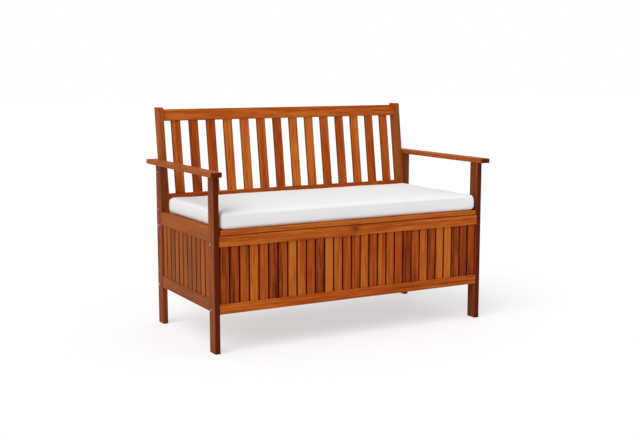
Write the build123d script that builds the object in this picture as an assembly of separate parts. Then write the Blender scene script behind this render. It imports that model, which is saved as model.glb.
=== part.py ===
from build123d import *
import os
from math import cos, pi, radians, sin, tan

# Garden storage bench, in millimetres: X to the right, Y to the back, Z up.
# The origin is on the ground, under the middle of the whole bench.

# Overall sizes
OVERALL_WIDTH = 1200.0
OVERALL_DEPTH = 650.0
OVERALL_HEIGHT = 850.0
SEAT_HEIGHT = 440.0

# Legs
LEG_THICKNESS = 20.0
LEG_DEPTH = 50.0
LEG_EDGE_RADIUS = 2.0

# Armrests
ARM_THICKNESS = 18.0
ARM_TOP_HEIGHT = 648.0
ARM_OUTER_OVERHANG = 20.0
ARM_INNER_OVERHANG = 4.0
ARM_FRONT_OVERHANG = 26.0
ARM_REAR_SETBACK = 5.0
ARM_EDGE_RADIUS = 3.0
ARM_CORNER_RADIUS = 5.0
ARM_NOTCH_CLEARANCE = 0.3

# Backrest
BACK_RAKE = 8.0
STILE_THICKNESS = 20.0
STILE_DEPTH = 50.0
STILE_FOOT_SETBACK = 1.0
STILE_EDGE_RADIUS = 2.0
BACK_RAIL_THICKNESS = 20.0
BACK_RAIL_RECESS = 14.0
BACK_RAIL_HEIGHT = 45.0
BACK_RAIL_EDGE_RADIUS = 2.5
BACK_TOP_RAIL_DROP = 8.0
BACK_LOWER_RAIL_RISE = 74.0
BACK_SLAT_COUNT = 14
BACK_SLAT_WIDTH = 38.5
BACK_SLAT_THICKNESS = 10.0

# Front and rear panels
PANEL_BOTTOM_HEIGHT = 142.0
PANEL_RAIL_THICKNESS = 22.0
PANEL_LOWER_RAIL_HEIGHT = 36.0
PANEL_UPPER_RAIL_HEIGHT = 40.0
PANEL_RAIL_EDGE_RADIUS = 1.5
PANEL_SLAT_COUNT = 29
PANEL_SLAT_GAP = 4.6

# Side panels
SIDE_BOTTOM_HEIGHT = 148.0
SIDE_RAIL_INSET = 1.0
SIDE_RAIL_RISE = 6.0
SIDE_LOWER_RAIL_HEIGHT = 44.0
SIDE_UPPER_RAIL_HEIGHT = 50.0
SIDE_SLAT_COUNT = 11
SIDE_SLAT_GAP = 6.7

# Slats and joinery that the panels, the backrest and the armrests share
SLAT_THICKNESS = 10.0
SLAT_EDGE_CHAMFER = 1.2
GROOVE_DEPTH = 8.0
GROOVE_CLEARANCE = 0.2
SLAT_END_CLEARANCE = 1.0
TENON_THICKNESS = 8.0
TENON_LENGTH = 12.0
TENON_SHOULDER = 9.0
TENON_CLEARANCE = 0.2
ARM_TENON_WIDTH = 30.0
ARM_TENON_LENGTH = 11.0

# Corner battens
BATTEN_THICKNESS = 20.0
BATTEN_WIDTH = 25.0
BATTEN_LID_GAP = 3.0

# Storage floor
LEDGER_SIZE = 20.0
FLOOR_BOARD_COUNT = 15
FLOOR_BOARD_THICKNESS = 12.0
FLOOR_BOARD_GAP = 11.0
FLOOR_CLEARANCE = 1.0

# Seat lid
LID_THICKNESS = 17.0
LID_ARM_CLEARANCE = 2.0
LID_SLAT_COUNT = 8
LID_SLAT_GAP = 7.0
LID_EDGE_CHAMFER = 1.5
LID_BATTEN_COUNT = 4
LID_BATTEN_WIDTH = 40.0
LID_BATTEN_THICKNESS = 18.0
LID_BATTEN_FRONT_GAP = 8.0
LID_BATTEN_REAR_GAP = 10.0
LID_BATTEN_END_INSET = 80.0

# Butt hinges between the lid and the rear upper rail
HINGE_COUNT = 3
HINGE_LENGTH = 60.0
HINGE_SPREAD = 800.0
HINGE_GAP = 2.0
HINGE_LEAF_THICKNESS = 1.6
HINGE_LEAF_HEIGHT = 15.0
HINGE_LEAF_GAP = 0.4
HINGE_KNUCKLE_COUNT = 5
HINGE_KNUCKLE_RADIUS = 3.5
HINGE_KNUCKLE_GAP = 0.4
HINGE_PIN_RADIUS = 1.6
HINGE_PIN_CLEARANCE = 0.06
HINGE_RECESS_CLEARANCE = 0.5

# Seat cushion
CUSHION_EDGE_HEIGHT = 58.0
CUSHION_CROWN = 8.0
CUSHION_CROWN_REACH = 170.0
CUSHION_CROWN_STEPS = 3
CUSHION_EDGE_RADIUS = 15.0
CUSHION_EDGE_STEPS = 3
CUSHION_CORNER_RADIUS = 18.0
CUSHION_DRAW_IN = 4.0
CUSHION_FRONT_SETBACK = 3.0
CUSHION_REAR_SETBACK = 2.0
CUSHION_ARM_CLEARANCE = 4.0
CUSHION_SEAT_GAP = 0.3

# Main lines worked out from the sizes above
arm_outer_x = OVERALL_WIDTH / 2
leg_outer_x = arm_outer_x - ARM_OUTER_OVERHANG
leg_inner_x = leg_outer_x - LEG_THICKNESS
arm_inner_x = leg_inner_x - ARM_INNER_OVERHANG
stile_inner_x = leg_inner_x - STILE_THICKNESS
leg_top = ARM_TOP_HEIGHT - ARM_THICKNESS
arm_span_y = (-OVERALL_DEPTH / 2, OVERALL_DEPTH / 2 - ARM_REAR_SETBACK)

rake = radians(BACK_RAKE)
back_top_y = OVERALL_DEPTH / 2 - STILE_DEPTH / cos(rake)
back_foot_y = back_top_y - (OVERALL_HEIGHT - SEAT_HEIGHT) * tan(rake)

front_leg_y = (arm_span_y[0] + ARM_FRONT_OVERHANG, arm_span_y[0] + ARM_FRONT_OVERHANG + LEG_DEPTH)
rear_leg_y = (back_foot_y - STILE_FOOT_SETBACK, back_foot_y - STILE_FOOT_SETBACK + LEG_DEPTH)
front_rail_y = (front_leg_y[0], front_leg_y[0] + PANEL_RAIL_THICKNESS)
rear_rail_y = (rear_leg_y[0], rear_leg_y[0] + PANEL_RAIL_THICKNESS)

lid_underside = SEAT_HEIGHT - LID_THICKNESS
lid_half_width = arm_inner_x - LID_ARM_CLEARANCE
lid_span_y = (front_leg_y[0], rear_rail_y[0] - HINGE_GAP)
hinge_y = rear_rail_y[0] - HINGE_GAP / 2
hinge_z = SEAT_HEIGHT

lower_rail_z = (PANEL_BOTTOM_HEIGHT, PANEL_BOTTOM_HEIGHT + PANEL_LOWER_RAIL_HEIGHT)
front_upper_rail_z = (lid_underside - PANEL_UPPER_RAIL_HEIGHT, lid_underside)
rear_upper_rail_z = (front_upper_rail_z[0], SEAT_HEIGHT)
front_batten_y = (front_rail_y[1], front_rail_y[1] + BATTEN_WIDTH)
rear_batten_y = (rear_rail_y[1], rear_rail_y[1] + BATTEN_WIDTH)

side_rail_x = (leg_inner_x + SIDE_RAIL_INSET, leg_outer_x - SIDE_RAIL_INSET)
side_panel_y = (front_leg_y[1], rear_leg_y[0])
side_lower_rail_z = (SIDE_BOTTOM_HEIGHT, SIDE_BOTTOM_HEIGHT + SIDE_LOWER_RAIL_HEIGHT)
side_upper_rail_z = (SEAT_HEIGHT + SIDE_RAIL_RISE - SIDE_UPPER_RAIL_HEIGHT, SEAT_HEIGHT + SIDE_RAIL_RISE)

# The backrest's own frame: its Y runs back from the stiles' front faces and its Z up along them
back_frame = Pos(0, back_foot_y, SEAT_HEIGHT) * Rot(-BACK_RAKE, 0, 0)


def middle(span):
    """The middle of a span."""
    return (span[0] + span[1]) / 2


def about(centre, width):
    """The span of a width about a centre."""
    return (centre - width / 2, centre + width / 2)


def grown(span, margin):
    """A span with a margin added at both ends."""
    return (span[0] - margin, span[1] + margin)


def shares(span, count, gap):
    """Equal spans along a span, with the same gap between them and at both ends."""
    width = (span[1] - span[0] - (count + 1) * gap) / count
    starts = [span[0] + gap + index * (width + gap) for index in range(count)]
    return [(start, start + width) for start in starts]


def plank(x, y, z, radius=0.0, along=Axis.X):
    """A board that fills three spans, with its edges along one axis rounded."""
    spans = (x, y, z)
    board = Pos(*[middle(span) for span in spans]) * Box(*[high - low for low, high in spans])
    if radius > 0:
        board = fillet(board.edges().filter_by(along), radius)
    return board


def slat(x, y, z, size, along):
    """A slat that fills three spans, with its edges along one axis chamfered."""
    return chamfer(plank(x, y, z).edges().filter_by(along), size)


def rod_x(radius, x, y, z):
    """A round rod along X over a span."""
    return Pos(middle(x), y, z) * Rot(0, 90, 0) * Cylinder(radius, x[1] - x[0])


def both_sides(solid):
    """A solid on the right-hand side and its mirror image on the left."""
    return {"right": solid, "left": mirror(solid, about=Plane.YZ)}


def rise_along_back(z, depth):
    """How far up the backrest's own frame a height is, at a depth behind its front."""
    return (z - SEAT_HEIGHT + depth * sin(rake)) / cos(rake)


# Back rails and slats, laid out in the backrest's own frame
back_rail_depth = (BACK_RAIL_RECESS, BACK_RAIL_RECESS + BACK_RAIL_THICKNESS)
back_slat_depth = about(middle(back_rail_depth), BACK_SLAT_THICKNESS)
back_top_rail_end = rise_along_back(OVERALL_HEIGHT - BACK_TOP_RAIL_DROP, middle(back_rail_depth))
back_lower_rail_end = rise_along_back(SEAT_HEIGHT + BACK_LOWER_RAIL_RISE, middle(back_rail_depth))
back_top_rail_span = (back_top_rail_end - BACK_RAIL_HEIGHT, back_top_rail_end)
back_lower_rail_span = (back_lower_rail_end - BACK_RAIL_HEIGHT, back_lower_rail_end)
back_rail_spans = (back_top_rail_span, back_lower_rail_span)
back_clear_x = (-stile_inner_x, stile_inner_x)
back_slat_gap = (2 * stile_inner_x - BACK_SLAT_COUNT * BACK_SLAT_WIDTH) / (BACK_SLAT_COUNT + 1)

# Butt hinges, spaced evenly along the rear edge of the lid
hinge_centres = [HINGE_SPREAD * (index / (HINGE_COUNT - 1) - 0.5) for index in range(HINGE_COUNT)]
knuckle_pitch = HINGE_LENGTH / HINGE_KNUCKLE_COUNT
leaf_clear_radius = HINGE_KNUCKLE_RADIUS + HINGE_KNUCKLE_GAP


def tenon_z(rail_z):
    """The height span of the tenons on a rail."""
    return grown(rail_z, -TENON_SHOULDER)


def top_groove(rail_z):
    """The height span of a groove along a rail's top edge."""
    return (rail_z[1] - GROOVE_DEPTH, rail_z[1])


def bottom_groove(rail_z):
    """The height span of a groove along a rail's bottom edge."""
    return (rail_z[0], rail_z[0] + GROOVE_DEPTH)


def slat_z(lower_z, upper_z):
    """The height span of slats that stand in a lower rail's groove and reach into an upper rail's."""
    return (top_groove(lower_z)[0], bottom_groove(upper_z)[1] - SLAT_END_CLEARANCE)


def tenon_bar(rail_z, clearance):
    """The bar whose two ends are a side rail's tenons, or the mortises they fit."""
    x = grown(about(middle(side_rail_x), TENON_THICKNESS), clearance)
    return plank(x, grown(side_panel_y, TENON_LENGTH + clearance), grown(tenon_z(rail_z), clearance))


def arm_tenon(leg_y, clearance):
    """The tenon on top of a right-hand leg, or with a clearance the mortise in the armrest."""
    x = grown(about(middle((leg_inner_x, leg_outer_x)), TENON_THICKNESS), clearance)
    y = grown(about(middle(leg_y), ARM_TENON_WIDTH), clearance)
    return plank(x, y, (leg_top, leg_top + ARM_TENON_LENGTH + clearance))


def make_leg(leg_y):
    """A right-hand leg, mortised for the side rails, with a tenon on top for the armrest."""
    leg = plank((leg_inner_x, leg_outer_x), leg_y, (0, leg_top), LEG_EDGE_RADIUS, Axis.Z)
    leg -= [tenon_bar(rail_z, TENON_CLEARANCE) for rail_z in (side_lower_rail_z, side_upper_rail_z)]
    return leg + arm_tenon(leg_y, 0)


def make_stile():
    """A right-hand stile, raked, with a level foot and top, mortised for the two back rails."""
    x = (stile_inner_x, leg_inner_x)
    uncut = (-OVERALL_HEIGHT, OVERALL_HEIGHT)
    blank = plank(x, (0, STILE_DEPTH), uncut, STILE_EDGE_RADIUS, Axis.Z)
    reach = grown((back_foot_y, OVERALL_DEPTH / 2), STILE_DEPTH)
    slab = plank(x, reach, (SEAT_HEIGHT, OVERALL_HEIGHT))
    stile = (back_frame * blank) & slab
    return stile - [back_frame * back_tenon_bar(rail_z, TENON_CLEARANCE) for rail_z in back_rail_spans]


def make_armrest():
    """A right-hand armrest, rounded all round, notched for the stile and mortised for the legs."""
    arm = plank((arm_inner_x, arm_outer_x), arm_span_y, (leg_top, ARM_TOP_HEIGHT), ARM_CORNER_RADIUS, Axis.Z)
    arm = fillet(arm.faces().sort_by(Axis.Z)[-1].edges(), ARM_EDGE_RADIUS)
    arm = fillet(arm.faces().sort_by(Axis.Z)[0].edges(), ARM_EDGE_RADIUS)
    notch_x = grown((stile_inner_x, leg_inner_x), ARM_NOTCH_CLEARANCE)
    notch_depth = grown((0, STILE_DEPTH), ARM_NOTCH_CLEARANCE)
    arm -= back_frame * plank(notch_x, notch_depth, (0, OVERALL_HEIGHT - SEAT_HEIGHT))
    return arm - [arm_tenon(leg_y, TENON_CLEARANCE) for leg_y in (front_leg_y, rear_leg_y)]


def back_tenon_bar(rail_z, clearance):
    """The bar whose two ends are a back rail's tenons, or the mortises they fit."""
    depth = grown(about(middle(back_rail_depth), TENON_THICKNESS), clearance)
    return plank(grown(back_clear_x, TENON_LENGTH + clearance), depth, grown(tenon_z(rail_z), clearance))


def make_back_rail(rail_z, groove_z):
    """A tenoned back rail with a groove for the slats along one edge."""
    rail = plank(back_clear_x, back_rail_depth, rail_z, BACK_RAIL_EDGE_RADIUS, Axis.X)
    rail += back_tenon_bar(rail_z, 0)
    return back_frame * (rail - plank(back_clear_x, grown(back_slat_depth, GROOVE_CLEARANCE), groove_z))


def make_back_slats():
    """The backrest's slats, standing in the lower groove and reaching into the upper one."""
    length = slat_z(back_lower_rail_span, back_top_rail_span)
    spans = shares(back_clear_x, BACK_SLAT_COUNT, back_slat_gap)
    return [back_frame * slat(x, back_slat_depth, length, SLAT_EDGE_CHAMFER, Axis.Z) for x in spans]


def make_side_rail(rail_z, groove_z):
    """A right-hand side rail with tenons on its ends and a groove for the slats."""
    rail = plank(side_rail_x, side_panel_y, rail_z, PANEL_RAIL_EDGE_RADIUS, Axis.Y)
    rail += tenon_bar(rail_z, 0)
    groove_x = grown(about(middle(side_rail_x), SLAT_THICKNESS), GROOVE_CLEARANCE)
    return rail - plank(groove_x, side_panel_y, groove_z)


def make_side_slats():
    """The slats of the right-hand side panel."""
    x = about(middle(side_rail_x), SLAT_THICKNESS)
    z = slat_z(side_lower_rail_z, side_upper_rail_z)
    spans = shares(side_panel_y, SIDE_SLAT_COUNT, SIDE_SLAT_GAP)
    return Compound([slat(x, y, z, SLAT_EDGE_CHAMFER, Axis.Z) for y in spans])


def make_panel_rail(rail_y, rail_z, groove_z):
    """A rail of the front or rear panel with a groove for the slats."""
    clear_x = (-leg_inner_x, leg_inner_x)
    rail = plank(clear_x, rail_y, rail_z, PANEL_RAIL_EDGE_RADIUS, Axis.X)
    groove_y = grown(about(middle(rail_y), SLAT_THICKNESS), GROOVE_CLEARANCE)
    return rail - plank(clear_x, groove_y, groove_z)


def make_panel_slats(rail_y):
    """The slats of the front or rear panel."""
    y = about(middle(rail_y), SLAT_THICKNESS)
    z = slat_z(lower_rail_z, front_upper_rail_z)
    spans = shares((-leg_inner_x, leg_inner_x), PANEL_SLAT_COUNT, PANEL_SLAT_GAP)
    return Compound([slat(x, y, z, SLAT_EDGE_CHAMFER, Axis.Z) for x in spans])


def make_corner_batten(batten_y, top):
    """A right-hand corner batten, between a leg and the end of a panel."""
    x = (leg_inner_x - BATTEN_THICKNESS, leg_inner_x)
    return slat(x, batten_y, (PANEL_BOTTOM_HEIGHT, top), SLAT_EDGE_CHAMFER, Axis.Z)


def make_floor():
    """The two ledgers on the lower rails and the boards that lie across them."""
    half = leg_inner_x - BATTEN_THICKNESS - FLOOR_CLEARANCE
    ledger_z = (PANEL_BOTTOM_HEIGHT, PANEL_BOTTOM_HEIGHT + LEDGER_SIZE)
    ledger_spans = (
        (front_rail_y[1], front_rail_y[1] + LEDGER_SIZE),
        (rear_rail_y[0] - LEDGER_SIZE, rear_rail_y[0]),
    )
    ledgers = [plank((-half, half), y, ledger_z) for y in ledger_spans]
    board_y = grown((front_rail_y[1], rear_rail_y[0]), -FLOOR_CLEARANCE)
    board_z = (ledger_z[1], ledger_z[1] + FLOOR_BOARD_THICKNESS)
    spans = shares(grown((-half, half), FLOOR_BOARD_GAP), FLOOR_BOARD_COUNT, FLOOR_BOARD_GAP)
    boards = [plank(x, board_y, board_z) for x in spans]
    return Compound(ledgers), Compound(boards)


def leaf_y(side):
    """The thickness span of a leaf: side is +1 on the frame and -1 on the lid."""
    near = hinge_y + side * HINGE_LEAF_GAP / 2
    return sorted((near, near + side * HINGE_LEAF_THICKNESS))


def knuckle_spans(centre, first):
    """Every second knuckle of a hinge, counted from the first."""
    start = centre - (HINGE_LENGTH - knuckle_pitch) / 2
    middles = [start + index * knuckle_pitch for index in range(first, HINGE_KNUCKLE_COUNT, 2)]
    return [about(place, knuckle_pitch - HINGE_KNUCKLE_GAP) for place in middles]


def make_leaf(centre, side, first):
    """A hinge leaf: a plate cut back beside the other leaf's knuckles, with its own knuckles rolled on."""
    plate_x = about(centre, HINGE_LENGTH)
    leaf = plank(plate_x, leaf_y(side), (hinge_z - HINGE_LEAF_HEIGHT, hinge_z - leaf_clear_radius))
    for span in knuckle_spans(centre, first):
        leaf += plank(span, leaf_y(side), (hinge_z - leaf_clear_radius, hinge_z))
        leaf += rod_x(HINGE_KNUCKLE_RADIUS, span, hinge_y, hinge_z)
    return leaf - rod_x(HINGE_PIN_RADIUS + HINGE_PIN_CLEARANCE, plate_x, hinge_y, hinge_z)


def hinge_recesses(side):
    """What is cut from the wood for the hinges: seats for the leaves and room for the knuckles."""
    cuts = []
    for centre in hinge_centres:
        x = grown(about(centre, HINGE_LENGTH), HINGE_RECESS_CLEARANCE)
        cuts.append(plank(x, leaf_y(side), (hinge_z - HINGE_LEAF_HEIGHT - HINGE_RECESS_CLEARANCE, hinge_z)))
        cuts.append(rod_x(HINGE_KNUCKLE_RADIUS + HINGE_RECESS_CLEARANCE, x, hinge_y, hinge_z))
    return cuts


def make_lid_slats():
    """The lid's lengthwise slats, from the front edge back to the hinged one."""
    spans = shares(grown(lid_span_y, LID_SLAT_GAP), LID_SLAT_COUNT, LID_SLAT_GAP)
    x = (-lid_half_width, lid_half_width)
    slats = [slat(x, y, (lid_underside, SEAT_HEIGHT), LID_EDGE_CHAMFER, Axis.X) for y in spans]
    slats[-1] -= hinge_recesses(-1)
    return slats


def make_lid_battens():
    """The battens under the lid, across its slats."""
    y = (front_rail_y[1] + LID_BATTEN_FRONT_GAP, lid_span_y[1] - LID_BATTEN_REAR_GAP)
    z = (lid_underside - LID_BATTEN_THICKNESS, lid_underside)
    reach = 2 * (lid_half_width - LID_BATTEN_END_INSET)
    centres = [reach * (index / (LID_BATTEN_COUNT - 1) - 0.5) for index in range(LID_BATTEN_COUNT)]
    return Compound([plank(about(x, LID_BATTEN_WIDTH), y, z) for x in centres])


def cushion_outline(inset, height, draw_in):
    """The cushion's outline at a height: four sides drawn in between rounded corners."""
    half_x = arm_inner_x - CUSHION_ARM_CLEARANCE - inset
    front = lid_span_y[0] + CUSHION_FRONT_SETBACK
    rear = lid_span_y[1] - CUSHION_REAR_SETBACK
    half_y = (rear - front) / 2 - inset
    corner = CUSHION_CORNER_RADIUS
    bow = corner * (1 - cos(pi / 4))
    along_x = half_x - corner
    along_y = half_y - corner
    outline = Curve() + [
        ThreePointArc((-along_x, -half_y), (0, -half_y + draw_in), (along_x, -half_y)),
        ThreePointArc((along_x, -half_y), (half_x - bow, -half_y + bow), (half_x, -along_y)),
        ThreePointArc((half_x, -along_y), (half_x - draw_in, 0), (half_x, along_y)),
        ThreePointArc((half_x, along_y), (half_x - bow, half_y - bow), (along_x, half_y)),
        ThreePointArc((along_x, half_y), (0, half_y - draw_in), (-along_x, half_y)),
        ThreePointArc((-along_x, half_y), (-half_x + bow, half_y - bow), (-half_x, along_y)),
        ThreePointArc((-half_x, along_y), (-half_x + draw_in, 0), (-half_x, -along_y)),
        ThreePointArc((-half_x, -along_y), (-half_x + bow, -half_y + bow), (-along_x, -half_y)),
    ]
    return Pos(0, middle((front, rear)), SEAT_HEIGHT + CUSHION_SEAT_GAP + height) * make_face(outline)


def cushion_steps():
    """Inset, height and side draw-in of each outline, from the flat base up to the flat of the crown."""
    edge = CUSHION_EDGE_RADIUS
    turns = [step * pi / 2 / CUSHION_EDGE_STEPS for step in range(CUSHION_EDGE_STEPS + 1)]
    steps = [(edge * (1 - sin(turn)), edge * (1 - cos(turn)), CUSHION_DRAW_IN) for turn in turns]
    shoulder = CUSHION_EDGE_HEIGHT - edge
    steps += [(edge * (1 - cos(turn)), shoulder + edge * sin(turn), CUSHION_DRAW_IN) for turn in turns[:-1]]
    for step in range(CUSHION_CROWN_STEPS + 1):
        share = step / CUSHION_CROWN_STEPS
        inset = edge + share * (CUSHION_CROWN_REACH - edge)
        rise = CUSHION_EDGE_HEIGHT + CUSHION_CROWN * (1 - (1 - share) ** 2)
        steps.append((inset, rise, CUSHION_DRAW_IN * (1 - share / 2)))
    return steps


def make_cushion():
    """The cushion: rounded lower edge, drawn-in sides, rounded upper edge and a crowned top."""
    return loft([cushion_outline(*step) for step in cushion_steps()], ruled=True)


def gather(shapes):
    """One group of the separate solids in several shapes."""
    return Compound([solid for shape in shapes for solid in shape.solids()])


def side_nodes():
    """Legs, armrests, side panels, corner battens and stiles, right and left."""
    batten_top = lid_underside - BATTEN_LID_GAP
    halves = {
        "front_{}_leg": make_leg(front_leg_y),
        "rear_{}_leg": make_leg(rear_leg_y),
        "{}_armrest": make_armrest(),
        "{}_side_upper_rail": make_side_rail(side_upper_rail_z, bottom_groove(side_upper_rail_z)),
        "{}_side_lower_rail": make_side_rail(side_lower_rail_z, top_groove(side_lower_rail_z)),
        "{}_side_slats": make_side_slats(),
        "front_{}_corner_batten": make_corner_batten(front_batten_y, batten_top),
        "rear_{}_corner_batten": make_corner_batten(rear_batten_y, SEAT_HEIGHT),
        "back_{}_stile": make_stile(),
    }
    nodes = {}
    for name, half in halves.items():
        for side, solid in both_sides(half).items():
            nodes[name.format(side)] = solid
    return nodes


def panel_nodes():
    """Front and rear panels, and the storage floor between them."""
    rear_upper_rail = make_panel_rail(rear_rail_y, rear_upper_rail_z, bottom_groove(rear_upper_rail_z))
    front_upper_rail = make_panel_rail(front_rail_y, front_upper_rail_z, bottom_groove(front_upper_rail_z))
    ledgers, boards = make_floor()
    return {
        "front_upper_rail": front_upper_rail,
        "front_lower_rail": make_panel_rail(front_rail_y, lower_rail_z, top_groove(lower_rail_z)),
        "front_slats": make_panel_slats(front_rail_y),
        "rear_upper_rail": rear_upper_rail - hinge_recesses(1),
        "rear_lower_rail": make_panel_rail(rear_rail_y, lower_rail_z, top_groove(lower_rail_z)),
        "rear_slats": make_panel_slats(rear_rail_y),
        "floor_ledgers": ledgers,
        "floor_boards": boards,
    }


def back_nodes():
    """The rails and slats of the backrest."""
    nodes = {
        "back_top_rail": make_back_rail(back_top_rail_span, bottom_groove(back_top_rail_span)),
        "back_lower_rail": make_back_rail(back_lower_rail_span, top_groove(back_lower_rail_span)),
    }
    for number, slat in enumerate(make_back_slats(), start=1):
        nodes[f"back_slat_{number:02d}"] = slat
    return nodes


def hinge_nodes():
    """The leaves and pins of the lid's hinges."""
    pin_spans = [about(centre, HINGE_LENGTH) for centre in hinge_centres]
    pins = [rod_x(HINGE_PIN_RADIUS, span, hinge_y, hinge_z) for span in pin_spans]
    return {
        "hinge_frame_leaves": gather([make_leaf(centre, 1, 0) for centre in hinge_centres]),
        "hinge_lid_leaves": gather([make_leaf(centre, -1, 1) for centre in hinge_centres]),
        "hinge_pins": gather(pins),
    }


def lid_nodes():
    """The lid's slats and battens, and the cushion that lies on it."""
    nodes = {"lid_battens": make_lid_battens(), "seat_cushion": make_cushion()}
    for number, slat in enumerate(make_lid_slats(), start=1):
        nodes[f"lid_slat_{number}"] = slat
    return nodes


def main():
    os.makedirs("parts", exist_ok=True)
    for make_nodes in (side_nodes, panel_nodes, back_nodes, hinge_nodes, lid_nodes):
        for name, shape in make_nodes().items():
            export_step(shape, f"parts/{name}.step")


main()
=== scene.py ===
import math

import bmesh
import bpy
from bpy.props import FloatProperty, FloatVectorProperty, IntProperty, PointerProperty
from mathutils import Euler, Matrix, Vector, noise


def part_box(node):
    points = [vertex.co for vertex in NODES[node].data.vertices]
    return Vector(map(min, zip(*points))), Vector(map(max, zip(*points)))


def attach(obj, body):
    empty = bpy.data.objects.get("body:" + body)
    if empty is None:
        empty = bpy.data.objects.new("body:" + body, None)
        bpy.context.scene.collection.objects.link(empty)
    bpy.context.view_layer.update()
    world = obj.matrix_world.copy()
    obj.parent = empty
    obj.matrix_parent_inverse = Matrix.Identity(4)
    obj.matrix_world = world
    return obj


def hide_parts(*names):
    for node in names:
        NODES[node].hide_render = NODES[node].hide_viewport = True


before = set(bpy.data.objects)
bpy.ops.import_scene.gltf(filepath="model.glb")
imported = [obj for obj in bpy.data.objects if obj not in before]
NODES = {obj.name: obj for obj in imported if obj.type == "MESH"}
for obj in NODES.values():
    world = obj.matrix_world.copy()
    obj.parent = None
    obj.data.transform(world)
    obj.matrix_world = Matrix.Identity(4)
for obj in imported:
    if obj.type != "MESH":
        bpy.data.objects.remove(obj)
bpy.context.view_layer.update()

bl_info = {
    "name": "Garden storage bench",
    "version": (1, 0, 0),
    "blender": (4, 5, 0),
    "location": "View3D > Sidebar > Bench",
    "description": "Oiled hardwood, steel fittings and a padded cushion for a garden storage bench",
    "category": "Object",
}

AXES = "XYZ"
MM = 0.001

# Places read from the frame
FRONT_LEG_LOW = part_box("front_left_leg")[0]
FRONT_RAIL_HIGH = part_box("front_upper_rail")[1]
CUSHION_LOW, CUSHION_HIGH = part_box("seat_cushion")
STILE_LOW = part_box("back_left_stile")[0]
LID_JOINT = (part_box("lid_slat_1")[0].y, FRONT_RAIL_HIGH.z)

# What the frame's boxes don't tell: the rake of the back and the boards within one node
BACK_RAKE = math.radians(8.0)
PANEL_SLATS = 29
PANEL_SLAT_GAP = 4.6 * MM
SIDE_SLATS = 11
SIDE_SLAT_GAP = 6.7 * MM
LID_BATTENS = 4
LID_BATTEN_WIDTH = 40 * MM
FLOOR_BOARDS = 15
FLOOR_BOARD_GAP = 11 * MM

# Grain of the timber: waves to the metre along and across the grain, and each pattern's weight in the tone
BROAD_WAVES = (1.8, 14.0)
FINE_WAVES = (9.0, 420.0)
STREAK_WEIGHT = 1.15
FIGURE_WEIGHT = 0.7
STRIPE_WEIGHT = 1.4

# Surface of the timber: its roughness where it is smoothest, what the grain adds, and the grain's height
SMOOTHEST = 0.36
LINE_ROUGHNESS = 0.16
FIGURE_ROUGHNESS = 0.14
LINE_HEIGHT = 0.6

# Steps that give each board its own number, and how far a board's own chance moves its grain
PAIR_STEPS = {"X": 7.0, "Y": 11.0}
BOARD_STEP = 3.0
BOARD_SHIFT = 40.0

# Tones from umber to russet and from russet to amber
DARK_TONES = (-0.2, 0.42)
LIGHT_TONES = (0.36, 0.95)

# Dark marks on the timber: where each one fades, and how dark it is. The grain lines, pores and knot
# are the wood's own; the darkening at the boards' gaps, on the narrow front faces and at the joint line is
# painted shade.
LINE_LEVELS = (0.42, 0.72)
LINE_DARKNESS = 0.28
PORE_LEVELS = (0.60, 0.74)
PORE_DARKNESS = 0.35
EDGE_FADE = (0.2 * MM, 1.6 * MM)
FRONT_FADE = (0.8 * MM, 2.0 * MM)
FRONT_DARKNESS = 0.95
JOINT_DEPTH_FADE = (1.5 * MM, 3.0 * MM)
JOINT_HEIGHT_FADE = (1.2 * MM, 2.4 * MM)
JOINT_DARKNESS = 0.85
KNOT_X = -5 * MM
KNOT_DROP = 16 * MM
KNOT_HALF_WIDTH = 32 * MM
KNOT_HALF_HEIGHT = 17 * MM
KNOT_FADE = (0.15, 1.1)
KNOT_WAVER = 0.6
KNOT_RINGS = 24.0
RING_DEPTH = 0.2
KNOT_DARKNESS = 0.85

# Steel: waves of the marks to the metre, and what the marks do
CLOUD_WAVES = 60.0
CLOUD_LEVELS = (0.35, 0.7)
CLOUD_SHADE = 0.72
RUB_WAVES = 900.0
RUB_ROUGHNESS = 0.2
RUB_DEPTH = 0.02 * MM

# Rings of a bolt head, from its seat to its socket's floor: shares of the radius and height, and sides
ROUND_SIDES = 24
SOCKET_SIDES = 6
HEAD_RINGS = (
    (1.0, 0.0, ROUND_SIDES), (1.0, 0.45, ROUND_SIDES), (0.92, 0.8, ROUND_SIDES), (0.74, 1.0, ROUND_SIDES),
    (0.42, 1.0, SOCKET_SIDES), (0.42, 0.3, SOCKET_SIDES),
)

# Hinge screws: shares of the head's radius, and the slot in it, whose dark colour is painted shade
SCREW_TAPER = 0.9
SLOT_HALF_WIDTH = 0.16
SLOT_REACH = 0.62
SLOT_DEPTH = 0.3 * MM
SLOT_SHADOW = (0.03, 0.03, 0.03)
SLOT_DARKNESS = 0.9
SCREW_RUB_WAVES = 1200.0

# Cloth of the cushion: waves of its threads and mottle to the metre, and how they shade it
THREAD_ALONG = 70.0
THREAD_ACROSS = 900.0
WEAVE_LEVELS = (-0.4, 0.2)
WEAVE_STRENGTH = 0.7
WEAVE_SHADE = 0.93
WEAVE_DEPTH = 0.18 * MM
MOTTLE_WAVES = 9.0
MOTTLE_LEVELS = (0.35, 0.75)
MOTTLE_STRENGTH = 0.14
MOTTLE_SHADE = 0.9
MOTTLE_ROUGHNESS = 0.1
CLOTH_ROUGHNESS = 0.82

# Seams of the cushion: heights above its underside, stitches, and how far they sink and rise in weave depths.
# Their darker colour is painted shade where the seam lines sink
SEAM_RISES = (9 * MM, 48 * MM)
SEAM_FADE = (0.3 * MM, 1.1 * MM)
SEAM_STRENGTH = 0.13
SEAM_SHADE = 0.6
SEAM_SINK = 4.0
STITCH_LENGTH = 4.5 * MM
STITCH_GAP = 0.4
STITCH_STRENGTH = 0.06
STITCH_RISE = 2.0

# Shape of the cushion: how much of its foot is held and stays flat, and powers that flatten its curves
HELD_REACH = 1.5 * MM
FLAT_REACH = 2 * MM
EDGE_SEGMENTS = 4
CLOTH_QUALITY = 4
CROWN_POWER = 4
SIDE_POWER = 7
EDGE_POWERS = (6, 4)

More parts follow.
